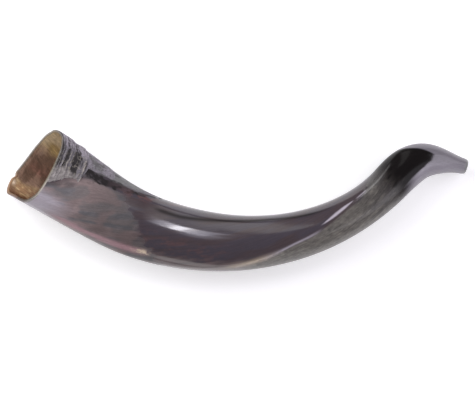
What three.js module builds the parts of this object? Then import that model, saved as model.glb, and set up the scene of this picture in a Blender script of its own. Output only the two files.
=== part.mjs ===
// Shofar: a ram's horn polished over most of its length, with its natural ridged
// skin left near the bell.
//
// Units are millimetres, +Z up. The horn lies on its side on Z = 0, mouthpiece
// toward +X, and the origin is under the middle of its bounding box.
//
// A horn is one growth of keratin, laid down as cones nested inside each other:
// the oldest cone is the tip, and every younger cone starts inside the one before
// it and shows as a band nearer the bell. Each cone is a separate solid here. The
// youngest, amber layer lines the hollow, and the raw skin lies on the outside.
import * as THREE from 'three';

// ---- Growth of the horn ----------------------------------------------------
// From the mouthpiece to the bell: centre x, y, z, half width, half depth.
const STATIONS = [
  [188.2, 27.3, 11.4, 6.3, 8.4],
  [180.4, 29.4, 11.8, 7.3, 9.0],
  [165.9, 32.5, 12.9, 11.2, 11.0],
  [152.2, 32.5, 14.0, 14.6, 12.8],
  [139.9, 27.3, 14.8, 16.5, 14.0],
  [121.7, 10.6, 15.3, 16.6, 15.0],
  [100.1, -6.5, 15.8, 16.8, 15.6],
  [64.9, -23.7, 17.0, 18.8, 16.8],
  [26.9, -32.9, 18.4, 21.2, 18.2],
  [-12.6, -34.5, 19.8, 23.8, 19.6],
  [-51.6, -28.9, 20.6, 26.0, 20.6],
  [-88.6, -16.7, 20.4, 27.8, 21.4],
  [-122.6, 2.5, 19.6, 29.9, 22.0],
  [-144.6, 16.7, 19.5, 31.5, 22.2],
  [-164.6, 29.5, 20.15, 32.8, 22.2],
];
const AROUND = 32; // facets around the horn
const OUTSIDE_STEP = 10.5; // longest facet along the outside
const INSIDE_STEP = 14; // longest facet along the hollow
const SAME_STATION = 1e-6;

// ---- Bell: slanted, egg shaped and squared off, with a lip on its low corner ----
const BELL_BLEND = 150; // length over which the round horn becomes the bell
const BELL_SLANT = 0.61;
const BELL_EGG = 0.2;
const BELL_SQUARENESS = 0.7; // added to the power 2 of a plain ellipse
const BELL_UNDERCUT = 0.22; // how much flatter the side on the table is
const LIP = { angle: 228, spread: 0.22, rise: 0.24, length: 40 };

// ---- Keel: a soft edge that winds round the horn (distance, angle in degrees) ----
const KEEL_PATH = [
  [0, 20], [45, 25], [60, 48], [85, 63], [115, 75], [145, 97],
  [165, 107], [190, 124], [215, 139], [250, 152], [388, 152],
];
const KEEL = { rise: 0.07, spread: 0.35, starts: 20, full: 60, fades: 180, gone: 60, left: 0.2 };
const EDGE_SOFTNESS = 0.05;

// ---- Hollow ----
const BELL_WALL = 2.2;
const HOLLOW_START = 92; // where the drilled bore meets the natural hollow
const HOLLOW_FLARE = 3; // how soon the hollow opens out toward its full size
const CUP = { halfWidth: 4.2, halfDepth: 5.6, depth: 9 };
const THROAT_RADIUS = 2.6;
const BORE_RADIUS = 4.0;
const LINING = { start: 0.3, bell: 1.0 };
const MOUTH_ROUNDING = { reach: 1.5, depth: 0.9 };

// ---- Growth cones: distance of each ring from the bell, and the overlap inside ----
const GROWTH_RINGS = [
  { back: 256, lap: 28 },
  { back: 168, lap: 30 },
  { back: 104, lap: 22 },
  { back: 60, lap: 16 },
  { back: 26, lap: 10 },
];
const CONE_NAMES = [
  'mouthpiece_tip_cone', 'growth_cone_2', 'growth_cone_3',
  'growth_cone_4', 'growth_cone_5', 'bell_growth_cone',
];

// ---- Raw skin: ridges counted from the bell, then a thin tail ----
// back: distances from the bell, crest: height, span: first and last facet edge,
// counted from the side the horn curls toward (8 is the side away from the table).
const RIDGES = [
  { back: [0, 3], crest: 0.8, span: [-7, 9] },
  { back: [3, 6], crest: 1.0, span: [-7, 9] },
  { back: [6, 10.5], crest: 1.3, span: [-7, 8] },
  { back: [10.5, 17], crest: 1.4, span: [-6, 8] },
  { back: [17, 26], crest: 1.4, span: [-6, 7] },
];
const TAIL = { back: [26, 60], crest: 0.6, span: [-4, 5] };
const SKIN_EDGE = 0.35; // height of the skin in the valleys and at its border
const CREST_AT = 0.75; // where the crest sits between two valleys

// ---- Colours ----
const HORN_FINISH = {
  mouthpiece_tip_cone: [0x17120f, 0.2],
  growth_cone_2: [0x1f1916, 0.22],
  growth_cone_3: [0x231b18, 0.25],
  growth_cone_4: [0x332927, 0.3],
  growth_cone_5: [0x524846, 0.4],
  bell_growth_cone: [0x6b605c, 0.45],
};
const LINING_FINISH = [0x8a5c30, 0.4];
const SKIN_FINISH = [0x6a6268, 0.85];

const radians = (degrees) => (degrees * Math.PI) / 180;

function smoothstep(x, from, to) {
  const t = Math.min(Math.max((x - from) / (to - from), 0), 1);
  return t * t * (3 - 2 * t);
}

// Natural cubic spline through (knots[i], values[i]); returns value and slope.
function naturalSpline(knots, values) {
  const last = knots.length - 1;
  const bend = new Array(last + 1).fill(0);
  const pivot = new Array(last + 1).fill(1);
  const side = new Array(last + 1).fill(0);
  for (let i = 1; i < last; i += 1) {
    const before = knots[i] - knots[i - 1];
    const after = knots[i + 1] - knots[i];
    const turn = (values[i + 1] - values[i]) / after - (values[i] - values[i - 1]) / before;
    const carry = i > 1 ? before / pivot[i - 1] : 0;
    pivot[i] = 2 * (before + after) - carry * before;
    side[i] = 6 * turn - carry * side[i - 1];
  }
  for (let i = last - 1; i > 0; i -= 1) {
    bend[i] = (side[i] - (knots[i + 1] - knots[i]) * bend[i + 1]) / pivot[i];
  }
  return (at) => {
    let i = 0;
    while (i < last - 1 && at > knots[i + 1]) i += 1;
    const h = knots[i + 1] - knots[i];
    const a = (knots[i + 1] - at) / h;
    const b = (at - knots[i]) / h;
    const value = a * values[i] + b * values[i + 1]
      + (((a ** 3 - a) * bend[i] + (b ** 3 - b) * bend[i + 1]) * h * h) / 6;
    const slope = (values[i + 1] - values[i]) / h
      + (((3 * b * b - 1) * bend[i + 1] - (3 * a * a - 1) * bend[i]) * h) / 6;
    return { value, slope };
  };
}

// ---- Centre line and cross sections ------------------------------------------
const centres = STATIONS.map(([x, y, z]) => new THREE.Vector3(x, y, z));
const distances = [0];
for (let i = 1; i < centres.length; i += 1) {
  distances.push(distances[i - 1] + centres[i].distanceTo(centres[i - 1]));
}
const LENGTH = distances[distances.length - 1];
const stationSplines = STATIONS[0].map(
  (_, column) => naturalSpline(distances, STATIONS.map((row) => row[column])),
);
const keelSpline = naturalSpline(KEEL_PATH.map((p) => p[0]), KEEL_PATH.map((p) => p[1]));

// Everything the cross section at distance s shares: its plane, sizes and shape.
function crossSection(s) {
  const [x, y, z, width, depth] = stationSplines.map((spline) => spline(s));
  const centre = new THREE.Vector3(x.value, y.value, z.value);
  const along = new THREE.Vector3(x.slope, y.slope, z.slope).normalize();
  const across = new THREE.Vector3(0, 0, 1).cross(along).normalize().negate();
  const up = new THREE.Vector3().crossVectors(across, along);
  if (up.z < 0) up.negate();
  const bell = smoothstep(s, LENGTH - BELL_BLEND, LENGTH);
  up.addScaledVector(along, -BELL_SLANT * bell);
  const mouthShare = Math.max(1 - s / MOUTH_ROUNDING.reach, 0);
  const rounding = MOUTH_ROUNDING.depth * (1 - Math.sqrt(1 - mouthShare ** 2));
  return {
    s,
    centre,
    across,
    up,
    bell,
    halfWidth: width.value - rounding,
    halfDepth: depth.value - rounding,
  };
}

// Height of a soft edge at `angle`, seen from `at`; 1 on the edge itself.
function softEdge(at, angle, spread) {
  const turn = 2 * Math.PI;
  const gap = ((((at - angle + Math.PI) % turn) + turn) % turn) - Math.PI;
  return Math.exp((EDGE_SOFTNESS - Math.hypot(gap, EDGE_SOFTNESS)) / spread);
}

// Point at `angle` on a closed curve of the section with the given half sizes.
// keelShare is how much of the keel the curve shows, offset lifts it off the curve.
function curvePoint(section, angle, halfWidth, halfDepth, keelShare, offset = 0) {
  const { s, bell } = section;
  const power = 2 / (2 + BELL_SQUARENESS * bell);
  const rounded = (value) => Math.sign(value) * Math.abs(value) ** power;
  const wide = rounded(Math.cos(angle));
  const deep = rounded(Math.sin(angle));
  const keelHeight = KEEL.rise * smoothstep(s, KEEL.starts, KEEL.full)
    * (1 - (1 - KEEL.left) * smoothstep(s, LENGTH - KEEL.fades, LENGTH - KEEL.gone));
  const swell = 1
    + keelShare * keelHeight * softEdge(angle, radians(keelSpline(s).value), KEEL.spread)
    + LIP.rise * smoothstep(s, LENGTH - LIP.length, LENGTH)
      * softEdge(angle, radians(LIP.angle), LIP.spread);
  const undercut = deep < 0 ? 1 - BELL_UNDERCUT * bell : 1;
  const a = halfWidth * wide * swell;
  const b = halfDepth * deep * (1 - BELL_EGG * bell * wide) * swell * undercut;
  const lift = 1 + offset / Math.hypot(a, b);
  return section.centre.clone()
    .addScaledVector(section.across, a * lift)
    .addScaledVector(section.up, b * lift);
}

// Half sizes of the hollow: a cup, a throat, the drilled bore, then the open bell.
function hollowSizes({ s, halfWidth, halfDepth }) {
  if (s <= CUP.depth) {
    const share = Math.sqrt(1 - s / CUP.depth);
    return [
      THROAT_RADIUS + (CUP.halfWidth - THROAT_RADIUS) * share,
      THROAT_RADIUS + (CUP.halfDepth - THROAT_RADIUS) * share,
    ];
  }
  if (s <= HOLLOW_START) {
    const share = (s - CUP.depth) / (HOLLOW_START - CUP.depth);
    const radius = THROAT_RADIUS + (BORE_RADIUS - THROAT_RADIUS) * share;
    return [radius, radius];
  }
  const share = 1 - ((LENGTH - s) / (LENGTH - HOLLOW_START)) ** HOLLOW_FLARE;
  return [
    BORE_RADIUS + (halfWidth - BELL_WALL - BORE_RADIUS) * share,
    BORE_RADIUS + (halfDepth - BELL_WALL - BORE_RADIUS) * share,
  ];
}

function liningThickness(s) {
  const share = (s - HOLLOW_START) / (LENGTH - HOLLOW_START);
  return LINING.start + (LINING.bell - LINING.start) * share;
}

// The three surfaces of the wall, from the outside in.
const LAYERS = {
  hollow: (section, angle) => curvePoint(section, angle, ...hollowSizes(section), 0),
  lining: (section, angle) => {
    const sizes = hollowSizes(section).map((size) => size + liningThickness(section.s));
    return curvePoint(section, angle, ...sizes, 0);
  },
  outside: (section, angle) => curvePoint(
    section, angle, section.halfWidth, section.halfDepth, 1,
  ),
};
const LAYER_ORDER = Object.keys(LAYERS);

// ---- Solids --------------------------------------------------------------------
const facetAngle = (index) => (2 * Math.PI * index) / AROUND;

// Two triangles for the quad with corners a-b on one row and d-c on the next, seen
// clockwise from outside. `straight` cuts it from a to c, otherwise from b to d.
function quad(faces, [a, b, c, d], straight = true) {
  if (straight) faces.push(a, c, b, a, d, c);
  else faces.push(a, d, b, b, d, c);
}

function solid(name, points, faces, [color, roughness]) {
  const geometry = new THREE.BufferGeometry();
  geometry.setAttribute(
    'position',
    new THREE.Float32BufferAttribute(points.flatMap((p) => p.toArray()), 3),
  );
  geometry.setIndex(faces);
  geometry.computeVertexNormals();
  const material = new THREE.MeshStandardMaterial({ color, roughness, metalness: 0 });
  const mesh = new THREE.Mesh(geometry, material);
  mesh.name = name;
  return mesh;
}

// A tube: the closed profile [[distance, layer], ...] swept once round the horn,
// listed along the outside toward the bell and back along the inside.
function tube(name, profile, finish) {
  const points = profile.flatMap(([s, layer]) => {
    const section = crossSection(s);
    return Array.from({ length: AROUND }, (_, j) => LAYERS[layer](section, facetAngle(j)));
  });
  const order = profile.map(([s, layer]) => s * LAYER_ORDER.length + LAYER_ORDER.indexOf(layer));
  const faces = [];
  profile.forEach((_, row) => {
    const next = (row + 1) % profile.length;
    for (let j = 0; j < AROUND; j += 1) {
      const k = (j + 1) % AROUND;
      const corners = [row * AROUND + j, row * AROUND + k, next * AROUND + k, next * AROUND + j];
      // The cut leaves the row with the lower order, so touching solids share facets.
      quad(faces, corners, order[row] < order[next]);
    }
  });
  return solid(name, points, faces, finish);
}

// A plate of raw skin lying on the outside between two distances from the bell.
function skinPlate(name, { back, crest, span }) {
  const stations = between(outsideStations, LENGTH - back[1], LENGTH - back[0]);
  const [first, last] = span;
  const middle = (first + last) / 2;
  const columns = last - first + 1;
  const ridgeAt = back[0] + CREST_AT * (back[1] - back[0]);
  const height = (s, column) => {
    const reach = LENGTH - s < ridgeAt ? ridgeAt - back[0] : back[1] - ridgeAt;
    const alongShare = 1 - Math.abs(LENGTH - s - ridgeAt) / reach;
    const aroundShare = 1 - ((first + column - middle) / (last - middle)) ** 4;
    return SKIN_EDGE + (crest - SKIN_EDGE) * alongShare * aroundShare;
  };
  const points = [];
  stations.forEach((s) => {
    const section = crossSection(s);
    const { halfWidth, halfDepth } = section;
    for (let column = 0; column < columns; column += 1) {
      const angle = facetAngle((first + column + AROUND) % AROUND);
      points.push(LAYERS.outside(section, angle));
      const rise = height(s, column);
      points.push(curvePoint(section, angle, halfWidth, halfDepth, 1, rise));
    }
  });
  const under = (row, column) => 2 * (row * columns + column);
  const over = (row, column) => under(row, column) + 1;
  const faces = [];
  const lastRow = stations.length - 1;
  const lastColumn = columns - 1;
  for (let row = 0; row < lastRow; row += 1) {
    for (let j = 0; j < lastColumn; j += 1) {
      quad(faces, [over(row, j), over(row, j + 1), over(row + 1, j + 1), over(row + 1, j)]);
      quad(faces, [under(row, j), under(row + 1, j), under(row + 1, j + 1), under(row, j + 1)]);
    }
    quad(faces, [under(row, 0), over(row, 0), over(row + 1, 0), under(row + 1, 0)]);
    const far = [under, over].map((side) => [side(row, lastColumn), side(row + 1, lastColumn)]);
    quad(faces, [far[0][0], far[0][1], far[1][1], far[1][0]]);
  }
  for (let j = 0; j < lastColumn; j += 1) {
    quad(faces, [under(0, j), under(0, j + 1), over(0, j + 1), over(0, j)]);
    const top = [under(lastRow, j), over(lastRow, j), over(lastRow, j + 1), under(lastRow, j + 1)];
    quad(faces, top);
  }
  return solid(name, points, faces, SKIN_FINISH);
}

// ---- Stations along the horn: every joint and crest, then an even filling ----
const ringAt = GROWTH_RINGS.map(({ back }) => LENGTH - back);
const ringInside = GROWTH_RINGS.map(({ back, lap }) => LENGTH - back - lap);
const ridgeMarks = [...RIDGES, TAIL].flatMap(({ back }) => [
  LENGTH - back[0], LENGTH - back[1], LENGTH - back[0] - CREST_AT * (back[1] - back[0]),
]);

function fillStations(marks, step) {
  const ordered = [...marks].sort((a, b) => a - b)
    .filter((s, i, all) => i === 0 || s - all[i - 1] > SAME_STATION);
  return ordered.flatMap((from, i) => {
    if (i === ordered.length - 1) return [from];
    const gap = ordered[i + 1] - from;
    const pieces = Math.ceil(gap / step);
    return Array.from({ length: pieces }, (_, j) => from + (gap * j) / pieces);
  });
}

const outsideStations = fillStations(
  [0, 0.4, MOUTH_ROUNDING.reach, 5, ...ringAt, ...ridgeMarks, LENGTH],
  OUTSIDE_STEP,
);
const insideStations = fillStations(
  [0, 2.5, 6, CUP.depth, HOLLOW_START, ...ringInside, LENGTH],
  INSIDE_STEP,
);

function between(stations, from, to) {
  return stations.filter((s) => s > from - SAME_STATION && s < to + SAME_STATION);
}

// ---- Growth cones ----
// Cone i shows between ring i-1 and ring i, and tucks under its older neighbour.
function growthCone(index) {
  const outside = [ringAt[index - 1] ?? 0, ringAt[index] ?? LENGTH];
  const inside = [ringInside[index - 1] ?? 0, ringInside[index] ?? LENGTH];
  const profile = between(outsideStations, ...outside).map((s) => [s, 'outside']);
  const lined = between(insideStations, Math.max(inside[0], HOLLOW_START), inside[1]).reverse();
  profile.push(...lined.map((s) => [s, 'lining']));
  if (inside[0] < HOLLOW_START) {
    const bore = between(insideStations, inside[0], HOLLOW_START).reverse();
    profile.push(...bore.map((s) => [s, 'hollow']));
  }
  const name = CONE_NAMES[index];
  return tube(name, profile, HORN_FINISH[name]);
}

// ---- Youngest layer, lining the natural hollow up to the bell ----
function innerLining() {
  const stations = between(insideStations, HOLLOW_START, LENGTH);
  const profile = [
    ...stations.map((s) => [s, 'lining']),
    ...[...stations].reverse().map((s) => [s, 'hollow']),
  ];
  return tube('inner_lining', profile, LINING_FINISH);
}

const shofar = new THREE.Group();
shofar.name = 'shofar';
CONE_NAMES.forEach((_, index) => shofar.add(growthCone(index)));
shofar.add(innerLining());
RIDGES.forEach((ridge, i) => shofar.add(skinPlate(`raw_skin_ridge_${i + 1}`, ridge)));
shofar.add(skinPlate('raw_skin_tail', TAIL));

export default shofar;
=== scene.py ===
import math

import bpy
import numpy as np
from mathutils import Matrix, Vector


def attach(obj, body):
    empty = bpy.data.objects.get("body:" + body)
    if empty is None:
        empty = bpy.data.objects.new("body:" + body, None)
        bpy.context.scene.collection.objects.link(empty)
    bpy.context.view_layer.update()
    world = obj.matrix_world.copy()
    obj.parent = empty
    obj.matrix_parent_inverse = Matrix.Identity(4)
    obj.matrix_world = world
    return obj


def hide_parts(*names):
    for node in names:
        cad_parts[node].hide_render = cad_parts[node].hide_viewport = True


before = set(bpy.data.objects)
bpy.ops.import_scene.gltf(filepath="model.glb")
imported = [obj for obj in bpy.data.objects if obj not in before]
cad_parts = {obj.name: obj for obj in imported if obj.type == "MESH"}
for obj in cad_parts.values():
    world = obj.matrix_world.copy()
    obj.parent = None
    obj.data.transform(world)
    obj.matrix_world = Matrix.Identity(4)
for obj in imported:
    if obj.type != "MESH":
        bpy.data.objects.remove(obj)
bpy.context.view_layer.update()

MM = 0.001

# ---- The horn's growth, in millimetres, as in the CAD --------------------------
# Each station, from the blowing end: x, y and z of its centre, half width and half depth.
STATIONS = np.array([
    [188.2, 27.3, 11.4, 6.3, 8.4],
    [180.4, 29.4, 11.8, 7.3, 9.0],
    [165.9, 32.5, 12.9, 11.2, 11.0],
    [152.2, 32.5, 14.0, 14.6, 12.8],
    [139.9, 27.3, 14.8, 16.5, 14.0],
    [121.7, 10.6, 15.3, 16.6, 15.0],
    [100.1, -6.5, 15.8, 16.8, 15.6],
    [64.9, -23.7, 17.0, 18.8, 16.8],
    [26.9, -32.9, 18.4, 21.2, 18.2],
    [-12.6, -34.5, 19.8, 23.8, 19.6],
    [-51.6, -28.9, 20.6, 26.0, 20.6],
    [-88.6, -16.7, 20.4, 27.8, 21.4],
    [-122.6, 2.5, 19.6, 29.9, 22.0],
    [-144.6, 16.7, 19.5, 31.5, 22.2],
    [-164.6, 29.5, 20.15, 32.8, 22.2],
])
# Distance from the blowing end, and the angle round the horn at which the keel stands.
KEEL_PATH = np.array([
    (0, 20), (45, 25), (60, 48), (85, 63), (115, 75), (145, 97),
    (165, 107), (190, 124), (215, 139), (250, 152), (388, 152),
], float)
HOLLOW_START = 92.0  # where the natural hollow starts
CUP_DEPTH, CUP_HALF_WIDTH, CUP_HALF_HEIGHT = 9.0, 4.2, 5.6
BORE_NEAR, BORE_FAR = 2.6, 4.0  # radius at the cup, and where the hollow starts
WALL = 2.2  # at the rim
LINING_THIN, LINING_THICK = 0.3, 1.0
MOUTH_ROUNDING, MOUTH_ROUNDED = 1.7, 3.0  # how much the blowing edge is rounded, over what
BELL_REACH = 150.0  # how far from the rim the section starts to turn into the bell's
BELL_LEAN = 0.61  # slant of the rim's cut
BELL_SQUARE, BELL_FLAT, BELL_TAPER = 0.7, 0.22, 0.2  # how D-shaped the section gets
KEEL_RISE, KEEL_SPREAD = 0.07, 0.35
LIP_AT, LIP_SPREAD, LIP_RISE, LIP_REACH = math.radians(227), 0.50, 0.18, 40.0  # bell's lip
GRAIN_TWIST = 0.6  # degrees per millimetre: the grain winds round as the keel does
RING_BACK = (256, 168, 104, 60, 26)  # growth rings, from the bell
RING_LAP = (28, 30, 22, 16, 10)
RIDGE_BACK = np.array([0, 3, 6, 10.5, 17, 26])  # clefts of the raw skin, from the bell
RIDGE_CREST = np.array([0.5, 0.75, 0.95, 1.15, 1.25, 1.1])  # height near each cleft
CREST_AT = np.array([0.78, 0.7, 0.78, 0.3, 0.8])  # where each ridge is highest
CREST_PALE = np.array([0.2, 0.5, 0.85, 0.25, 0.9])  # how pale its crest is worn
CLEFT_AT = np.array([0.25, 0.08, 0.22, 0.72, 0.04])  # the middle of each ridge's black cleft
CLEFT_HALF = np.array([0.24, 0.12, 0.24, 0.34, 0.17])  # and half its width
TAIL_BACK = 60.0
INSET = 0.12  # keeps the round surface within the CAD's facets

AROUND = 288
FINE, COARSE = 1.3, 5.0  # spacing of the rings of vertices


def smooth(x, a, b):
    t = np.clip((x - a) / (b - a), 0, 1)
    return t * t * (3 - 2 * t)


def fade(x, a, b):
    return 1 - smooth(x, a, b)


def between(x, a, b, c, d):
    """Rises from a to b and falls from c to d."""
    return smooth(x, a, b) * fade(x, c, d)


def hump(x, centre, width):
    """1 at the centre, fading out a few widths away."""
    return np.exp(-((x - centre) / width) ** 2)


def spline(knots, values):
    """Natural cubic spline; returns a function giving value and slope."""
    n, h = len(knots), np.diff(knots)
    left, right = np.eye(n), np.zeros(values.shape)
    for i in range(1, n - 1):
        left[i, i - 1:i + 2] = h[i - 1], 2 * (h[i - 1] + h[i]), h[i]
        right[i] = 6 * ((values[i + 1] - values[i]) / h[i]
                        - (values[i] - values[i - 1]) / h[i - 1])
    bend = np.linalg.solve(left, right)

    def at(t):
        k = np.clip(np.searchsorted(knots, t) - 1, 0, n - 2)
        hk, a, b = h[k], (knots[k + 1] - t) / h[k], (t - knots[k]) / h[k]
        if values.ndim > 1:
            hk, a, b = hk[..., None], a[..., None], b[..., None]
        value = (a * values[k] + b * values[k + 1]
                 + ((a**3 - a) * bend[k] + (b**3 - b) * bend[k + 1]) * hk**2 / 6)
        slope = ((values[k + 1] - values[k]) / hk
                 + ((3 * b * b - 1) * bend[k + 1] - (3 * a * a - 1) * bend[k]) * hk / 6)
        return value, slope
    return at


distance = np.r_[0, np.cumsum(np.linalg.norm(np.diff(STATIONS[:, :3], axis=0), axis=1))]
LENGTH = distance[-1]
station_at = spline(distance, STATIONS)
keel_at = spline(KEEL_PATH[:, 0], KEEL_PATH[:, 1])


def soft_edge(at, angle, spread):
    gap = (at - angle + np.pi) % (2 * np.pi) - np.pi
    return np.exp((0.05 - np.hypot(gap, 0.05)) / spread)


def hollow_sizes(s, a, b):
    cup = np.sqrt(np.clip(1 - s / CUP_DEPTH, 0, 1))
    along = np.clip((s - CUP_DEPTH) / (HOLLOW_START - CUP_DEPTH), 0, 1)
    bore = BORE_NEAR + (BORE_FAR - BORE_NEAR) * along
    flare = 1 - np.clip((LENGTH - s) / (LENGTH - HOLLOW_START), 0, 1) ** 3
    sizes = []
    for half, at_face in ((a, CUP_HALF_WIDTH), (b, CUP_HALF_HEIGHT)):
        natural = BORE_FAR + (half - WALL - BORE_FAR) * flare
        inner = np.where(s <= HOLLOW_START, bore, natural)
        sizes.append(np.where(s <= CUP_DEPTH, BORE_NEAR + (at_face - BORE_NEAR) * cup, inner))
    return sizes


def wall_point(s, angle, layer, lift=0.0):
    """Points of one surface of the wall; s, angle and lift broadcast together."""
    s, angle, lift = np.broadcast_arrays(
        np.asarray(s, float), np.asarray(angle, float), np.asarray(lift, float))
    v, d = station_at(s)
    centre, t = v[..., :3], d[..., :3]
    t = t / np.linalg.norm(t, axis=-1, keepdims=True)
    across = np.cross(t, [0, 0, 1.0])
    across /= np.linalg.norm(across, axis=-1, keepdims=True)
    up = np.cross(across, t)
    up *= np.sign(up[..., 2:3])
    bell = smooth(s, LENGTH - BELL_REACH, LENGTH)
    up = up - BELL_LEAN * bell[..., None] * t
    mouth = np.clip(1 - s / MOUTH_ROUNDED, 0, 1)
    rounding = MOUTH_ROUNDING * (1 - np.sqrt(1 - mouth**2))
    a, b, keel_share = v[..., 3] - rounding, v[..., 4] - rounding, 1.0
    if layer != "outside":
        a, b = hollow_sizes(s, a, b)
        keel_share = 0.0
        if layer == "lining":
            share = (s - HOLLOW_START) / (LENGTH - HOLLOW_START)
            thick = LINING_THIN + (LINING_THICK - LINING_THIN) * share
            a, b = a + thick, b + thick
    power = 2 / (2 + BELL_SQUARE * bell)
    wide, deep = (np.sign(c) * np.abs(c) ** power for c in (np.cos(angle), np.sin(angle)))
    keel = KEEL_RISE * smooth(s, 20, 60) * (1 - 0.8 * smooth(s, LENGTH - 180, LENGTH - 60))
    gap = (angle - LIP_AT + np.pi) % (2 * np.pi) - np.pi
    lip = np.exp(-np.abs(gap / LIP_SPREAD) ** 3)
    swell = (1 + keel_share * keel * soft_edge(angle, np.radians(keel_at(s)[0]), KEEL_SPREAD)
             + LIP_RISE * smooth(s, LENGTH - LIP_REACH, LENGTH) * lip)
    undercut = np.where(deep < 0, 1 - BELL_FLAT * bell, 1)
    x = a * wide * swell
    y = b * deep * (1 - BELL_TAPER * bell * wide) * swell * undercut
    grow = 1 + lift / np.hypot(x, y)
    return centre + (x * grow)[..., None] * across + (y * grow)[..., None] * up


# ---- Noise over the straightened horn, so that grain follows the curl -----------
def lattice(ix, iy, iz, seed):
    h = (ix * 374761393 + iy * 668265263 + iz * 2147483647 + seed * 1274126177) & 0xFFFFFFFF
    h = ((h ^ (h >> 13)) * 1274126177) & 0xFFFFFFFF
    return ((h ^ (h >> 16)) & 0xFFFF) / 65535.0


def noise(p, seed):
    base = np.floor(p).astype(np.int64)
    f = p - base
    f = f * f * (3 - 2 * f)
    total = 0
    for dx in (0, 1):
        for dy in (0, 1):
            for dz in (0, 1):
                weight = (np.where(dx, f[..., 0], 1 - f[..., 0])
                          * np.where(dy, f[..., 1], 1 - f[..., 1])
                          * np.where(dz, f[..., 2], 1 - f[..., 2]))
                total = total + weight * lattice(
                    base[..., 0] + dx, base[..., 1] + dy, base[..., 2] + dz, seed)
    return total


def fractal(p, seed, octaves=3):
    total, size = 0, 0
    for i in range(octaves):
        total = total + noise(p * 2.03**i, seed + i) * 0.5**i
        size += 0.5**i
    return total / size


def grain_point(s, angle):
    """Straightened and untwisted coordinates: distance along, and place in the section."""
    v = station_at(s)[0]
    radius = (v[..., 3] + v[..., 4]) / 2
    turned = angle - np.radians(GRAIN_TWIST) * s
    return np.stack([s, radius * np.cos(turned), radius * np.sin(turned)], -1)


def mix(a, b, share):
    return a + (np.asarray(b) - a) * share[..., None]


def wrap(degrees):
    return (degrees + 180) % 360 - 180


# ---- Where each finish lies ------------------------------------------------------
# Places are given as the distance back from the bell and the angle round the horn:
# 0 degrees is the side the horn curls toward, 90 faces up and -90 faces the table. The
# numbers in the looks below are such places, where a mark begins and ends, and how
# strongly it shows. The last number of each fractal is its seed.
def skin_edges(back, g):
    """The angles between which the raw skin lies."""
    ragged = (fractal(g * [0.12, 0.25, 0.25], 5) - 0.5) * 8
    near = np.interp(back, [0, 12, 20, 25, 28, 42, 60], [100, 89, 84, 82, 58, 48, 40])
    far = np.interp(back, [0, 20, 27, 42, 60], [-78, -70, -56, -44, -40])
    return near + ragged, far - ragged


def skin_share(back, degrees, g):
    """1 on raw skin, 0 on polished horn."""
    near, far = skin_edges(back, g)
    return (smooth(near - degrees, -1.5, 2.0) * smooth(degrees - far, -2, 3)
            * fade(back, 52, 59))


def ridge_phase(back, g):
    """Where a point lies on its ridge: 0 toward the bell, 1 at the foot of its ledge."""
    wander = ((fractal(g * [0.0, 0.11, 0.11], 11, 2) - 0.5) * 4.2
              + (fractal(g * [0.25, 0.4, 0.4], 13) - 0.5) * 2.4)
    u = np.clip(back + wander * between(back, 0, 3, 22, 26), 0, None)
    number = np.clip(np.searchsorted(RIDGE_BACK, u, side="right") - 1, 0, len(RIDGE_BACK) - 2)
    start, end = RIDGE_BACK[number], RIDGE_BACK[number + 1]
    return np.clip((u - start) / (end - start), 0, 1), number


def skin_height(back, degrees, g):
    """Height of the raw skin over the polished surface."""
    phase, number = ridge_phase(back, g)
    top = CREST_AT[number]
    slope = np.clip(phase / top, 0, 1) ** 1.6
    ledge = 1 - np.clip((phase - top) / (1 - top), 0, 1) ** 0.6
    patchy = np.stack([number * 9.7, g[..., 1] * 0.16, g[..., 2] * 0.16], -1)
    crest = np.interp(back, RIDGE_BACK, RIDGE_CREST) * (0.45 + 0.75 * noise(patchy, 21))
    fading = 1 - 0.75 * smooth(degrees, 74, 96)
    height = 0.12 + crest * np.minimum(slope, ledge) * fading
    fine = fractal(g * [1.1, 0.55, 0.55], 31) - 0.5
    height = height + fine * (0.22 + 0.5 * smooth(degrees, 25, 60))
    tail = 0.14 + 0.3 * (fractal(g * [0.2, 0.5, 0.5], 41) - 0.2)
    height = height + (tail - height) * smooth(back, 25.7, 27.5)
    rim = 0.4 + 0.6 * smooth(back, 0.0, 1.6)
    share = skin_share(back, degrees, g)
    return np.clip(height, 0.03, None) * rim * share - 0.4 * (1 - share)


def rim_chip(angle):
    """How far the sawn rim is worn back at an angle."""
    degrees = wrap(np.degrees(angle))
    worn = 0.1 + 0.35 * noise(np.stack([degrees * 0.09, degrees * 0, degrees * 0], -1), 71)
    return worn + 1.5 * hump(degrees, -113, 3.0)


def worn_back(s, angle):
    return s - rim_chip(angle) * smooth(s, LENGTH - 5, LENGTH)


BLACK = np.array([0.008, 0.0065, 0.0065])
PURPLE_BLACK = np.array([0.052, 0.042, 0.054])
DEEP_BROWN = np.array([0.056, 0.039, 0.043])
RED_BROWN = np.array([0.068, 0.037, 0.038])
GREY_HORN = np.array([0.158, 0.134, 0.134])
BLUE_GREY = np.array([0.118, 0.112, 0.121])
TAUPE = np.array([0.185, 0.138, 0.135])
PINK = np.array([0.36, 0.215, 0.235])
CREAM = np.array([0.50, 0.40, 0.30])
OLIVE = np.array([0.116, 0.106, 0.090])
LAVENDER = np.array([0.165, 0.150, 0.170])
SAWN = np.array([0.40, 0.36, 0.31])
GREEN_GREY = np.array([0.17, 0.18, 0.16])
TIP_GREY = np.array([0.175, 0.162, 0.185])
GOLD = np.array([0.62, 0.45, 0.25])
UMBER = np.array([0.195, 0.100, 0.068])
ORANGE = np.array([0.44, 0.25, 0.135])


RIM_PLACES = (-180, -150, -116, -104, -24, 0, 58, 76, 88, 100, 114, 130, 150, 180)
RIM_COLOURS = np.array([UMBER * 0.6, ORANGE * 0.5, ORANGE * 0.8, SAWN * 0.42, SAWN * 0.42,
                        BLACK * 4, BLACK * 4, SAWN * 0.25, SAWN * 0.6, SAWN * 1.2, SAWN * 1.1,
                        SAWN * 0.6, SAWN * 0.32, UMBER * 0.6])


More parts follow.
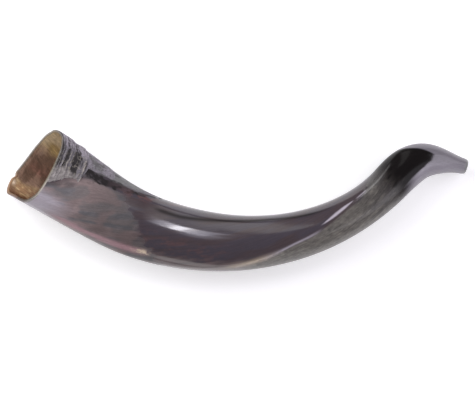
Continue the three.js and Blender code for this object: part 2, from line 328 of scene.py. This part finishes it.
def rim_colour(degrees):
    """The sawn rim: pale on the near side, dark on the curl side, brown at the lip."""
    return np.stack([np.interp(degrees, RIM_PLACES, RIM_COLOURS[:, k]) for k in range(3)], -1)


def facet_share(back, degrees, fleck, blotch):
    """1 on the grey flat of the bell, 0 on the dark horn."""
    limit = np.interp(degrees, [40, 68, 82, 125, 150, 180], [58, 71, 86, 110, 120, 126])
    limit = limit + (fleck - 0.5) * 20 + (blotch - 0.5) * 14
    top = np.interp(back, [0, 12, 20, 27, 40, 72], [100, 88, 82, 75, 66, 56])
    across = np.where(degrees > -60, degrees, 180)
    return fade(back - limit, -7, 6) * smooth(across - top, -3, 4)


def outside_look(s, angle):
    """Colour and finish (roughness, streak contrast, relief, gloss) of the outside."""
    back, degrees = LENGTH - s, wrap(np.degrees(angle))
    below_edge = np.where(degrees < -90, degrees + 360, degrees)
    g = grain_point(s, angle)
    streak = fractal(g * [0.035, 0.32, 0.32], 101, 4)
    blotch = fractal(g * [0.035, 0.08, 0.08], 111)
    fleck = fractal(g * [0.13, 0.38, 0.38], 121)
    speck = fractal(g * [0.5, 0.9, 0.9], 127)

    dark = mix(PURPLE_BLACK, DEEP_BROWN, smooth(streak, 0.4, 0.7))
    # painted reflection: the horn is painted black toward the bend, for the dark overhead
    # reflected there
    colour = mix(dark, BLACK, fade(s + 20 * (fleck - 0.5), 62, 100))
    # fine reddish mottles where the dark horn meets the grey bell
    mottle = between(back, 78, 100, 140, 200) * smooth(degrees, 84, 104)
    mottle = mottle * (0.7 * smooth(fleck, 0.48, 0.64) + 0.4 * smooth(speck, 0.55, 0.7))
    colour = mix(colour, RED_BROWN * 1.35, 0.85 * mottle)
    low = smooth(below_edge + (fleck - 0.5) * 20, 120, 142) * between(back, 100, 125, 176, 205)
    colour = mix(colour, TAUPE * 0.8, 0.85 * low * smooth(streak, 0.28, 0.46))

    # grey, slightly see-through horn of the bell
    grey = facet_share(back, below_edge, fleck, blotch)
    cloud = fractal(g * [0.05, 0.13, 0.13], 131)
    bell = mix(GREY_HORN, BLUE_GREY, 0.9 * smooth(streak, 0.48, 0.6))
    bell = mix(bell, TAUPE * 1.12, 0.9 * smooth(cloud, 0.46, 0.58))
    shade = smooth(fractal(g * [0.07, 0.1, 0.1], 137), 0.35, 0.65)
    bell = bell * (0.86 + 0.28 * shade)[..., None]
    bell = bell * (1.26 - 0.52 * smooth(back, 20, 70))[..., None]
    pale = fade(back, 4, 44) * smooth(below_edge, 98, 124) * (0.45 + 0.9 * streak)
    bell = mix(bell, LAVENDER * 2.6, np.clip(pale, 0, 0.9))
    # painted shadow: a thin dark blue-grey line just past the raw skin's edge
    painted_shadow_under_skin = hump(below_edge, skin_edges(back, g)[0] + 3, 2.2)
    painted_shadow_under_skin = painted_shadow_under_skin * fade(back, 22, 27)
    bell = mix(bell, BLUE_GREY * 0.35, 0.6 * painted_shadow_under_skin)
    colour = mix(colour, bell, grey)

    # pink line low on the bell, ending in a painted glint of bright cream flecks
    line_at = np.interp(back, [0, 31, 57, 82, 106], [150, 146, 145, 140, 136])
    pink = hump(below_edge, line_at, 7.5) * between(back, 12, 40, 98, 114)
    pink = pink * (0.55 + 0.9 * smooth(streak, 0.3, 0.6))
    colour = mix(colour, PINK, np.clip(pink, 0, 0.95))
    # painted glint: bright cream flecks where the pink line ends
    painted_glint = hump(below_edge, 136, 5.5) * hump(back, 104, 5.0)
    colour = mix(colour, CREAM * 1.3, np.clip(painted_glint * 2.2 * smooth(speck, 0.45, 0.62), 0, 1))

    # matte strip left along the edge, and the dark spotted band under it
    ragged = (fleck - 0.5) * 12
    strip_at = np.interp(back, [26, 40, 62, 88, 118], [54, 51, 40, 26, 0])
    strip = smooth(strip_at + ragged - degrees, -3, 4) * smooth(degrees, -62, -50)
    strip = strip * between(back, 20, 27, 96, 116)
    half = np.interp(back, [26, 50, 75, 120], [10, 9, 7, 5])
    off = np.abs(degrees - strip_at - half) + (0.5 - fleck) * 28 + (0.5 - speck) * 16
    band = fade(off / half, 0.55, 1.25) * between(back, 22, 28, 104, 130)
    band = band * fade(degrees - strip_at - 2 * half, 1, 7)
    brown = smooth(fractal(g * [0.2, 0.5, 0.5], 151), 0.42, 0.6) * smooth(back, 40, 75)
    colour = mix(colour, mix(BLACK * 1.8, DEEP_BROWN * 1.3, brown), 0.92 * band)
    # painted reflection: a dark line where the curl side turns down, for a dark band of the
    # room reflected there
    line_at = np.interp(back, [100, 128, 178, 208, 235, 260], [52, 52, 38, 35, 41, 47])
    painted_dark_reflection = hump(degrees, line_at, 5.2) * between(back, 96, 112, 240, 268)
    colour = mix(colour, BLACK * 2, 0.85 * painted_dark_reflection)
    flecks = hump(degrees, strip_at + 16, 9.0) * between(back, 60, 84, 120, 140)
    flecks = flecks * smooth(fleck, 0.47, 0.58)
    colour = mix(colour, RED_BROWN * 1.5, 0.9 * flecks)
    worn = LAVENDER * (0.35 + 0.7 * fleck + 0.6 * speck)[..., None]
    worn = mix(worn, GREEN_GREY, 0.5 * smooth(blotch, 0.5, 0.6))
    worn = mix(worn, BLACK * 3, 0.7 * smooth(fleck, 0.54, 0.66) * smooth(degrees, 0, 20))
    colour = mix(colour, worn, strip)

    # scratched satin face below the keel, and the pale keel itself: rubbed cream toward the
    # bell, a painted lavender highlight toward the mouth
    keel = keel_at(s)[0]
    scratched_from = keel - 45 * fade(s + 24 * (fleck - 0.5), 70, 100)
    below = smooth(below_edge - scratched_from, -2, 8) * smooth(s + 26 * (fleck - 0.5), 60, 88)
    below = below * fade(s, 190, 226)
    below = below * np.where(degrees > -150, smooth(degrees, 0, 9), 1)
    scuffs = fractal(g * [0.45, 0.75, 0.75], 141)
    olive = OLIVE * (0.42 + 0.3 * streak + 1.1 * scuffs)[..., None]
    olive = olive * (0.52 + 0.48 * smooth(below_edge - keel, -14, 0))[..., None]
    olive = mix(olive, BLACK * 3, 0.75 * fade(s, 70, 130) * smooth(fleck, 0.42, 0.6))
    colour = mix(colour, olive, 0.95 * below)
    width = 2.4 + 4.6 * smooth(s, 164, 196)
    crest = keel + 1 + 3.5 * smooth(s, 160, 185)
    ridge = hump(below_edge, crest, width) * between(s, 134, 150, 202, 226)
    ridge = ridge * (0.7 + 0.3 * smooth(streak, 0.3, 0.6))
    # painted highlight: the keel is pale lavender toward the mouth; toward the bell it is
    # rubbed cream
    rubbed_and_painted_highlight = mix(LAVENDER * 2.3, CREAM * 0.92, smooth(s, 170, 196))
    colour = mix(colour, rubbed_and_painted_highlight, 0.9 * np.clip(ridge, 0, 1))
    # two painted highlights: bright slivers beside the keel
    width = 1.1 + 3.0 * between(s, 104, 116, 122, 138)
    painted_highlight_sliver = np.exp(-((below_edge - keel + 8) / width) ** 4) * between(s, 103, 107, 132, 139)
    small_painted_highlight = hump(below_edge, keel - 7, 1.9) * between(s, 88, 92, 98, 102)
    colour = mix(colour, LAVENDER * 3.1, np.clip(0.95 * painted_highlight_sliver + 0.6 * small_painted_highlight, 0, 1))

    # satin blowing end, with a painted sheen and a sharp edge against the painted reflection
    # that blackens the bend
    end_at = np.interp(below_edge, [-90, 0, 26, 45, 68, 92, 110, 118, 126, 200, 270],
                       [52, 52, 47, 38, 29, 31, 38, 45, 54, 74, 60])
    soft = 1.4 + 12 * smooth(below_edge, 112, 130)
    tip = fade((s - end_at) / soft, -1, 1)
    # painted sheen: the grey of the end is lighter toward its lower side
    painted_sheen = 1 + 0.75 * hump(below_edge, 122, 32)
    colour = mix(colour, TIP_GREY * (painted_sheen * (0.83 + 0.3 * blotch))[..., None], tip)

    # rim and mouth: sawn edges
    colour = mix(colour, rim_colour(degrees), 0.85 * fade(back, 0.25, 0.9))
    colour = mix(colour, GREEN_GREY * 0.85, 0.75 * fade(s, 0.8, 3.0))

    rough = (0.13 + 0.05 * blotch + 0.30 * grey + 0.30 * below + 0.5 * strip + 0.3 * band
             + 0.24 * tip)
    contrast = 0.25 + 0.05 * grey + 0.5 * below + 0.2 * band
    relief = 0.08 + 0.22 * grey + 0.8 * below + 0.6 * strip + 0.4 * band
    bend = (1 - tip) * fade(s, 62, 84)
    gloss = (1 - 0.8 * bend) * (1 - 0.75 * band) * (1 - 0.6 * strip) * (1 - 0.4 * grey)
    gloss = gloss * (1 - 0.75 * painted_dark_reflection) * (1 - 0.55 * hump(back, 92, 9))
    return colour, np.stack([rough, contrast, relief, gloss], -1)


def skin_look(back, angle):
    """Colour and finish of the raw skin: pale where it is worn, black in its clefts."""
    degrees = wrap(np.degrees(angle))
    g = grain_point(LENGTH - back, angle)
    phase, number = ridge_phase(back, g)
    fine = fractal(g * [0.9, 0.8, 0.8], 201)
    wide = fractal(g * [0.10, 0.20, 0.20], 211)
    on_ridges = fade(back, 25, 27)
    rough_patch = smooth(degrees + (wide - 0.5) * 50, 34, 54) * fade(degrees, 80, 90)
    rough_patch = rough_patch * on_ridges
    opening = np.interp(degrees + (wide - 0.5) * 36, [-20, 20, 38, 47, 78, 90],
                        [0.2, 0.3, 0.6, 1.3, 1.4, 0.5])
    gap = np.abs(phase - CLEFT_AT[number]) - CLEFT_HALF[number] * opening + (0.5 - fine) * 0.5
    cleft = fade(gap, -0.07, 0.07) * on_ridges
    striped = fractal(g * [0.8, 0.12, 0.12], 231)
    worn = LAVENDER * (0.42 + 0.5 * fine + 1.25 * striped)[..., None]
    worn = mix(worn, BLACK * 5, 0.7 * fade(striped, 0.30, 0.44))
    worn = worn * np.interp(degrees, [32, 48, 75, 85], [1.35, 0.62, 0.66, 1.0])[..., None]
    colour = mix(worn, BLACK * 2.2, cleft * np.interp(degrees, [10, 45], [0.72, 0.94]))
    cracks = hump(fractal(g * [0.5, 0.3, 0.3], 221), 0.5, 0.022)
    colour = mix(colour, SAWN * 0.8, 0.8 * cracks * rough_patch * smooth(wide, 0.38, 0.52))
    crest_line = hump(phase, CREST_AT[number], 0.08) * smooth(fine, 0.38, 0.54)
    crest_line = crest_line * smooth(degrees + (wide - 0.5) * 40, 34, 60) * on_ridges
    colour = mix(colour, SAWN * 1.2, CREST_PALE[number] * crest_line)
    lower = smooth(degrees + (wide - 0.5) * 24, 76, 84) * on_ridges
    pale = (SAWN * 0.42 + LAVENDER * 0.7) * (0.35 + 1.25 * fine)[..., None]
    colour = mix(colour, pale, 0.85 * lower)
    tail = smooth(back, 25.7, 27.5)
    tail_colour = LAVENDER * (0.55 + 1.5 * fine)[..., None]
    tail_colour = mix(tail_colour, GREEN_GREY, 0.45 * smooth(wide, 0.48, 0.62))
    tail_colour = mix(tail_colour, BLACK * 3, 0.6 * smooth(fine + wide, 1.02, 1.16))
    colour = mix(colour, tail_colour, 0.95 * tail)
    colour = mix(colour, rim_colour(degrees), 0.85 * fade(back, 0.2, 0.9))
    rough = 0.58 + 0.25 * fine
    full = np.ones_like(rough)
    return colour, np.stack([rough, 0.55 * full, 0.5 * full, 0.6 * full], -1)


def lining_look(s, angle):
    """Colour and finish of the amber layer inside the bell."""
    back, degrees = LENGTH - s, wrap(np.degrees(angle))
    g = grain_point(s, angle)
    streak = fractal(g * [0.03, 0.22, 0.22], 301, 3)
    cross = fractal(g * [0.22, 0.07, 0.07], 305)
    fleck = fractal(g * [0.35, 0.55, 0.55], 311)
    wander = (fractal(g * [0.05, 0.1, 0.1], 321) - 0.5) * 40
    where = degrees + wander * 0.6
    colour = mix(GOLD * 0.84, SAWN * 0.9, 0.25 * smooth(cross, 0.42, 0.6))
    olive = smooth(-where, 44, 60) * (0.2 + 1.2 * smooth(cross, 0.4, 0.62))
    olive = olive * smooth(back, 3, 12)
    colour = mix(colour, GOLD * [0.60, 0.56, 0.42], np.clip(olive, 0, 1))
    mid = smooth(-where, 64, 82) * fade(-where, 110, 124)
    colour = mix(colour, UMBER * [1.35, 1.6, 1.75], mid)
    scar = hump(degrees, -94, 5.0) * between(back, 3, 6, 22, 27)
    colour = mix(colour, UMBER * [2.2, 1.9, 2.2], 0.8 * scar)
    colour = mix(colour, UMBER * 0.5, 0.75 * smooth(cross, 0.44, 0.58) * mid)
    low = np.clip(smooth(-where, 110, 124) + smooth(where, 130, 165), 0, 1)
    amber = mix(ORANGE * 0.9, GOLD, smooth(fleck, 0.54, 0.7))
    amber = mix(amber, UMBER * 0.9, smooth(cross, 0.5, 0.66) * 0.5)
    shaded = smooth(-degrees, 131, 149) + smooth(degrees, 100, 140)
    amber = mix(amber, UMBER * [0.6, 0.42, 0.25], 0.92 * np.clip(shaded, 0, 1))
    # painted shade: the amber darkens deeper inside the bell
    amber = mix(amber, UMBER * 0.8, smooth(back, 10, 26))
    colour = mix(colour, amber, low)
    # painted highlight: a small cream spot on the lining just inside the lip
    painted_highlight_flake = hump(degrees, -124, 4.0) * fade(back, 2, 5) * smooth(back, 0.6, 1.4)
    colour = mix(colour, CREAM * 1.7, painted_highlight_flake)
    colour = mix(colour, UMBER * 0.5, 0.4 * smooth(streak, 0.56, 0.78))
    colour = colour * (0.70 + 0.6 * fleck)[..., None]
    # painted shade: the whole lining darkens deeper inside the bell
    colour = mix(colour, UMBER * 0.25, 0.85 * smooth(back, 22, 90))
    edge = rim_colour(degrees) * (1 - 0.92 * smooth(degrees, 40, 80))[..., None]
    colour = mix(colour, edge, 0.85 * fade(back, 0.3, 1.0))
    rough = 0.38 + 0.25 * fleck
    full = np.ones_like(rough)
    return colour, np.stack([rough, 0.35 * full, 0.8 * full, full], -1)


# ---- Materials: one shader, fed by the colour and finish laid on each piece --------
def horn_material(name, fibre_scale, speckle, coat, bump_mm, sparkle=0.0):
    material = bpy.data.materials.new(name)
    material.use_nodes = True
    tree = material.node_tree
    nodes, links = tree.nodes, tree.links
    nodes.clear()

    def node(kind, **values):
        made = nodes.new(kind)
        for key, value in values.items():
            if hasattr(made, key):
                setattr(made, key, value)
            else:
                made.inputs[key.replace("_", " ")].default_value = value
        return made

    def maths(operation, a, b, c=None):
        made = node("ShaderNodeMath", operation=operation)
        for socket, value in zip(made.inputs, (a, b, c)):
            if value is None:
                continue
            if isinstance(value, (int, float)):
                socket.default_value = value
            else:
                links.new(value, socket)
        return made.outputs[0]

    tint = node("ShaderNodeAttribute", attribute_name="tint")
    finish = node("ShaderNodeAttribute", attribute_name="finish")
    grain = node("ShaderNodeAttribute", attribute_name="grain")
    split = node("ShaderNodeSeparateColor")
    links.new(finish.outputs["Color"], split.inputs[0])
    rough, contrast, relief = split.outputs[:3]

    def texture(scale, detail, roughness=0.6, distortion=0.0):
        place = node("ShaderNodeVectorMath", operation="MULTIPLY")
        links.new(grain.outputs["Vector"], place.inputs[0])
        place.inputs[1].default_value = scale
        made = node("ShaderNodeTexNoise", Scale=1.0, Detail=detail, Roughness=roughness,
                    Distortion=distortion)
        links.new(place.outputs[0], made.inputs["Vector"])
        return made.outputs[0]

    fibre = texture(list(fibre_scale), 5.0)
    hairs = texture([fibre_scale[0] * 0.6, fibre_scale[1] * 4, fibre_scale[2] * 4], 3.0)
    grit = texture([speckle] * 3, 4.0, 0.7)
    scratches = texture([0.32, 2.4, 2.4], 3.0, 0.7)

    centred = maths("SUBTRACT", fibre, 0.5)
    gritty = maths("MULTIPLY", maths("SUBTRACT", grit, 0.5), 0.7)
    darker = maths("MULTIPLY_ADD", centred, 2.2, gritty)
    gain = maths("MULTIPLY_ADD", darker, contrast, 1.0)
    marks = maths("MULTIPLY", maths("SUBTRACT", scratches, 0.5), 2.4)
    gain = maths("MULTIPLY_ADD", marks, relief, gain)
    gain = maths("MAXIMUM", gain, 0.15)
    shade = node("ShaderNodeVectorMath", operation="SCALE")
    links.new(tint.outputs["Color"], shade.inputs[0])
    links.new(gain, shade.inputs["Scale"])

    surface = node("ShaderNodeBsdfPrincipled", IOR=1.55)
    links.new(shade.outputs[0], surface.inputs["Base Color"])
    uneven = maths("MULTIPLY", maths("SUBTRACT", hairs, 0.5), 0.5)
    worn = maths("MULTIPLY_ADD", uneven, relief, rough)
    links.new(maths("MAXIMUM", maths("MINIMUM", worn, 0.95), 0.06), surface.inputs["Roughness"])
    gloss = finish.outputs["Alpha"]
    links.new(maths("MULTIPLY", gloss, 0.5), surface.inputs["Specular IOR Level"])
    links.new(maths("MULTIPLY", gloss, coat), surface.inputs["Coat Weight"])
    surface.inputs["Coat Roughness"].default_value = 0.07
    surface.inputs["Coat IOR"].default_value = 1.5

    coarse = maths("ADD", fibre, maths("MULTIPLY", grit, 0.6))
    bumpy = maths("ADD", maths("MULTIPLY", hairs, 0.5), coarse)
    bump = node("ShaderNodeBump", Distance=bump_mm * MM)
    links.new(relief, bump.inputs["Strength"])
    links.new(bumpy, bump.inputs["Height"])
    links.new(bump.outputs[0], surface.inputs["Normal"])
    if sparkle:
        glint = maths("GREATER_THAN", texture([1.7] * 3, 0.0), 0.74)
        surface.inputs["Specular Tint"].default_value = (1, 0.85, 0.6, 1)
        links.new(maths("MULTIPLY", glint, sparkle), surface.inputs["Coat Weight"])

    out = node("ShaderNodeOutputMaterial")
    links.new(surface.outputs[0], out.inputs["Surface"])
    return material


POLISHED = horn_material("polished_horn", (0.05, 1.1, 1.1), 0.9, 0.45, 0.10)
LINING = horn_material("amber_lining", (0.05, 0.9, 0.9), 1.3, 0.12, 0.22, sparkle=0.8)
RAW = horn_material("raw_skin", (0.30, 1.2, 1.2), 2.2, 0.0, 0.80)


# ---- Building the pieces -------------------------------------------------------------
def piece(name, points, faces, looks, material, sharp_rings=()):
    """A closed mesh with its colour, finish and grain laid on its points. sharp_rings
    are the rows of points, AROUND to a row, where shading breaks."""
    mesh = bpy.data.meshes.new(name)
    mesh.from_pydata([], [], [])
    count = len(points)
    mesh.vertices.add(count)
    mesh.vertices.foreach_set("co", (points * MM).astype(np.float32).ravel())
    mesh.loops.add(faces.size)
    mesh.loops.foreach_set("vertex_index", faces.astype(np.int32).ravel())
    mesh.polygons.add(len(faces))
    mesh.polygons.foreach_set("loop_start", np.arange(0, faces.size, 4, dtype=np.int32))
    mesh.update(calc_edges=True)
    mesh.validate()
    mesh.polygons.foreach_set("use_smooth", np.ones(len(mesh.polygons), bool))
    colour, finish, grain = looks
    for label, values in (("tint", colour), ("finish", finish)):
        layer = mesh.attributes.new(label, "FLOAT_COLOR", "POINT")
        rgba = np.ones((count, 4), np.float32)
        rgba[:, :values.shape[1]] = values
        layer.data.foreach_set("color", rgba.ravel())
    layer = mesh.attributes.new("grain", "FLOAT_VECTOR", "POINT")
    layer.data.foreach_set("vector", grain.astype(np.float32).ravel())
    mesh.set_sharp_from_angle(angle=math.radians(42))
    if sharp_rings:
        ends = np.empty(2 * len(mesh.edges), np.int32)
        mesh.edges.foreach_get("vertices", ends)
        ring = ends.reshape(-1, 2) // AROUND
        sharp = np.empty(len(mesh.edges), bool)
        mesh.edges.foreach_get("use_edge_sharp", sharp)
        sharp |= (ring[:, 0] == ring[:, 1]) & np.isin(ring[:, 0], sharp_rings)
        mesh.edges.foreach_set("use_edge_sharp", sharp)
    mesh.materials.append(material)
    made = bpy.data.objects.new(name + "_look", mesh)
    bpy.context.scene.collection.objects.link(made)
    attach(made, "root")
    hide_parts(name)
    return made


angles = np.arange(AROUND) * 2 * np.pi / AROUND


def spaced(start, end, step):
    return np.linspace(start, end, max(2, int(math.ceil(abs(end - start) / step)) + 1))


def undulation(s, angle):
    """Slow unevenness left by hand shaping."""
    g = grain_point(s, angle)
    wave = (fractal(g * [0.028, 0.075, 0.075], 401, 2) - 0.5) * 0.5
    return -0.02 - 0.35 * np.abs(wave) * smooth(s, 1.5, 20) * smooth(LENGTH - s, 2, 20)


def tube_piece(name, profile, material):
    """A tube from [(distance, layer), ...], outside toward the bell, then back inside."""
    rows, colours, finishes, grains = [], [], [], []
    for s0, layer in profile:
        s = np.full(AROUND, s0)
        worn = worn_back(s, angles)
        if layer == "outside":
            rows.append(wall_point(worn, angles, layer, undulation(s, angles) - INSET))
            colour, finish = outside_look(s, angles)
        else:
            rows.append(wall_point(worn, angles, layer))
            colour, finish = lining_look(s, angles)
        colours.append(colour)
        finishes.append(finish)
        grains.append(grain_point(s, angles))
    count = len(profile)
    row = np.arange(count)[:, None] * AROUND
    after = np.roll(row, -1, axis=0)
    j = np.arange(AROUND)[None, :]
    k = (j + 1) % AROUND
    faces = np.stack([row + k, row + j, after + j, after + k], -1).reshape(-1, 4)
    looks = [np.concatenate(v) for v in (colours, finishes, grains)]
    # shading breaks where the tube turns from one layer to another, so no joint shows
    turns = [i for i in range(count) if profile[i][1] != profile[(i + 1) % count][1]]
    rings = turns + [(i + 1) % count for i in turns]
    return piece(name, np.concatenate(rows), faces, looks, material, rings)


ring_at = [LENGTH - back for back in RING_BACK]
ring_inside = [r - lap for r, lap in zip(ring_at, RING_LAP)]
CONES = (
    ("mouthpiece_tip_cone", "tip_horn"), ("growth_cone_2", "polished_horn"),
    ("growth_cone_3", "polished_horn"), ("growth_cone_4", "mottled_horn"),
    ("growth_cone_5", "bell_horn"), ("bell_growth_cone", "bell_horn"),
)
for i, (name, slot) in enumerate(CONES):
    out_from, out_to = ([0.0] + ring_at)[i], (ring_at + [LENGTH])[i]
    in_from, in_to = ([0.0] + ring_inside)[i], (ring_inside + [LENGTH])[i]
    outer = spaced(out_from, out_to, FINE)
    if i == 0:
        outer = np.r_[0, 0.12, 0.3, 0.6, 1.0, 1.5, spaced(2.2, out_to, FINE)]
    if i == 5:
        at_rim = LENGTH - np.array([1.4, 0.9, 0.5, 0.2, 0])
        outer = np.r_[spaced(out_from, LENGTH - 2, FINE), at_rim]
    profile = [(s, "outside") for s in outer]
    profile += [(s, "lining") for s in spaced(in_to, max(in_from, HOLLOW_START), COARSE)]
    if i == 0:
        cup = [10, CUP_DEPTH, 8, 7, 6, 4.5, 3, 1.5, 0.6, 0]
        bore = np.r_[spaced(HOLLOW_START, 12, COARSE), cup]
        profile += [(s, "hollow") for s in bore]
    tube_piece(name, profile, POLISHED)

inner = spaced(HOLLOW_START, LENGTH, COARSE)
visible = np.r_[spaced(LENGTH, LENGTH - 1.5, 0.3), spaced(LENGTH - 2.5, LENGTH - 110, FINE)]
visible = np.r_[visible, spaced(LENGTH - 114, HOLLOW_START, COARSE)]
tube_piece("inner_lining", [(s, "lining") for s in inner] + [(s, "hollow") for s in visible],
           LINING)


def skin_piece(name, back_from, back_to, span):
    """A plate of raw skin: relief on top, sunk into the horn below and at its edges."""
    stations = LENGTH - spaced(back_to, back_from, 0.38)
    edge = np.radians(spaced(span[0], span[1], 0.9))
    s, angle = np.meshgrid(stations, edge, indexing="ij")
    g = grain_point(s, angle)
    height = skin_height(LENGTH - s, wrap(np.degrees(angle)), g)
    colour, finish = skin_look(LENGTH - s, angle)
    worn = worn_back(s, angle)
    top = wall_point(worn, angle, "outside", height - INSET)
    bottom = wall_point(worn, angle, "outside", np.minimum(height - 0.15, -0.6) - INSET)
    n, m = s.shape
    index = np.arange(n * m).reshape(n, m)
    low = index + n * m

    def cells(grid, flip):
        quads = [grid[:-1, 1:], grid[:-1, :-1], grid[1:, :-1], grid[1:, 1:]]
        return np.stack(quads[::-1] if flip else quads, -1).reshape(-1, 4)

    loop = np.r_[index[0, :-1], index[:-1, -1], index[-1, :0:-1], index[:0:-1, 0]]
    ahead = np.roll(loop, -1)
    wall = np.stack([loop, ahead, ahead + n * m, loop + n * m], -1)
    faces = np.concatenate([cells(index, False), cells(low, True), wall])
    both = [np.concatenate([v.reshape(-1, v.shape[-1])] * 2) for v in (colour, finish, g)]
    points = np.concatenate([top.reshape(-1, 3), bottom.reshape(-1, 3)])
    return piece(name, points, faces, both, RAW)


for i, (start, end) in enumerate(zip(RIDGE_BACK[:-1], RIDGE_BACK[1:])):
    skin_piece(f"raw_skin_ridge_{i + 1}", start, end, (-92, 112))
skin_piece("raw_skin_tail", RIDGE_BACK[-1], TAIL_BACK, (-72, 88))


# ---- Floor, light and camera ------------------------------------------------------------
FLOOR_GLOW = 0.4  # the white table is lit from below, which softens shadows


def floor():
    mesh = bpy.data.meshes.new("floor")
    half = 2.5
    mesh.from_pydata([(-half, -half, 0), (half, -half, 0), (half, half, 0), (-half, half, 0)],
                     [], [(0, 1, 2, 3)])
    made = bpy.data.objects.new("floor", mesh)
    bpy.context.scene.collection.objects.link(made)
    material = bpy.data.materials.new("floor")
    material.use_nodes = True
    shader = material.node_tree.nodes["Principled BSDF"]
    shader.inputs["Base Color"].default_value = (0.95, 0.95, 0.95, 1)
    shader.inputs["Roughness"].default_value = 0.7
    shader.inputs["Specular IOR Level"].default_value = 0.1
    shader.inputs["Emission Color"].default_value = (1, 1, 1, 1)
    shader.inputs["Emission Strength"].default_value = FLOOR_GLOW
    mesh.materials.append(material)


def dim_room(colour, strength):
    world = bpy.data.worlds.new("room")
    bpy.context.scene.world = world
    world.use_nodes = True
    background = world.node_tree.nodes["Background"]
    background.inputs["Color"].default_value = (*colour, 1)
    background.inputs["Strength"].default_value = strength


def softbox(name, centre, target, size, radiance, colour=(1, 1, 1)):
    """A rectangular light at centre facing target: size is its width and height."""
    data = bpy.data.lights.new(name, "AREA")
    data.shape = "RECTANGLE"
    data.size, data.size_y = size
    data.energy = radiance * math.pi * size[0] * size[1]
    data.color = colour
    made = bpy.data.objects.new(name, data)
    made.location = centre
    made.rotation_euler = (Vector(target) - Vector(centre)).to_track_quat("-Z", "Y").to_euler()
    made.visible_camera = False
    bpy.context.scene.collection.objects.link(made)


def toward(azimuth, from_top, away, start=(0, 0, 0.02)):
    """The point that far from start, in the direction given in degrees."""
    az, down = math.radians(azimuth), math.radians(from_top)
    return (start[0] + away * math.sin(down) * math.cos(az),
            start[1] + away * math.sin(down) * math.sin(az), start[2] + away * math.cos(down))


MOUTH = (0.17, 0.03, 0.02)
MIDDLE = (0, 0, 0.02)
GLOW_AT = (-0.0507, -0.0218, 0.038)  # where the brightest highlight lies on the horn
LAMP_AWAY = 0.22
LAMP = toward(68, 24, LAMP_AWAY, GLOW_AT)
HALO = (LAMP[0] + 0.0045, LAMP[1], LAMP[2])
TAIL_AT = (-0.031, -0.029, 0.039)  # where the glow round it fades out
TAIL = toward(62, 15, LAMP_AWAY, TAIL_AT)
CARD_AT = (0.0545, 0.40, 0.42)
WARM, COOL, LAVENDER_LIGHT = (1.0, 0.98, 0.96), (0.95, 0.92, 1.0), (0.90, 0.87, 1.0)

floor()
dim_room(COOL, 0.22)
softbox("curl_side_card", CARD_AT, (CARD_AT[0], 0, CARD_AT[2]), (0.069, 0.68), 1.15, WARM)
softbox("bell_side_card", toward(147, 57, 1.0), MIDDLE, (1.0, 0.6), 4.2)
softbox("mouth_side_card", toward(0, 50, 0.85, MOUTH), MOUTH, (1.5, 0.80), 1.6, COOL)
softbox("low_card", toward(-100, 78, 1.2), MIDDLE, (1.6, 0.3), 1.2)
softbox("lamp", LAMP, GLOW_AT, (0.010, 0.06), 20.0, (0.97, 0.95, 1.0))
softbox("lamp_halo", HALO, GLOW_AT, (0.055, 0.065), 2.6, LAVENDER_LIGHT)
softbox("lamp_tail", TAIL, TAIL_AT, (0.035, 0.055), 1.2, LAVENDER_LIGHT)

# The camera looks straight down from far off. The view is 389.5 mm wide halfway up the horn.
FRAME_WIDTH = 389.5 * MM
LENS, SENSOR = 300, 36  # millimetres
HORN_HEIGHT = 0.021
camera_data = bpy.data.cameras.new("camera")
camera_data.lens, camera_data.sensor_width = LENS, SENSOR
camera = bpy.data.objects.new("camera", camera_data)
camera.location = (-0.0003, 0.0003, HORN_HEIGHT + FRAME_WIDTH * LENS / SENSOR)
bpy.context.scene.collection.objects.link(camera)
bpy.context.scene.camera = camera
bpy.context.scene.view_settings.view_transform = "Standard"
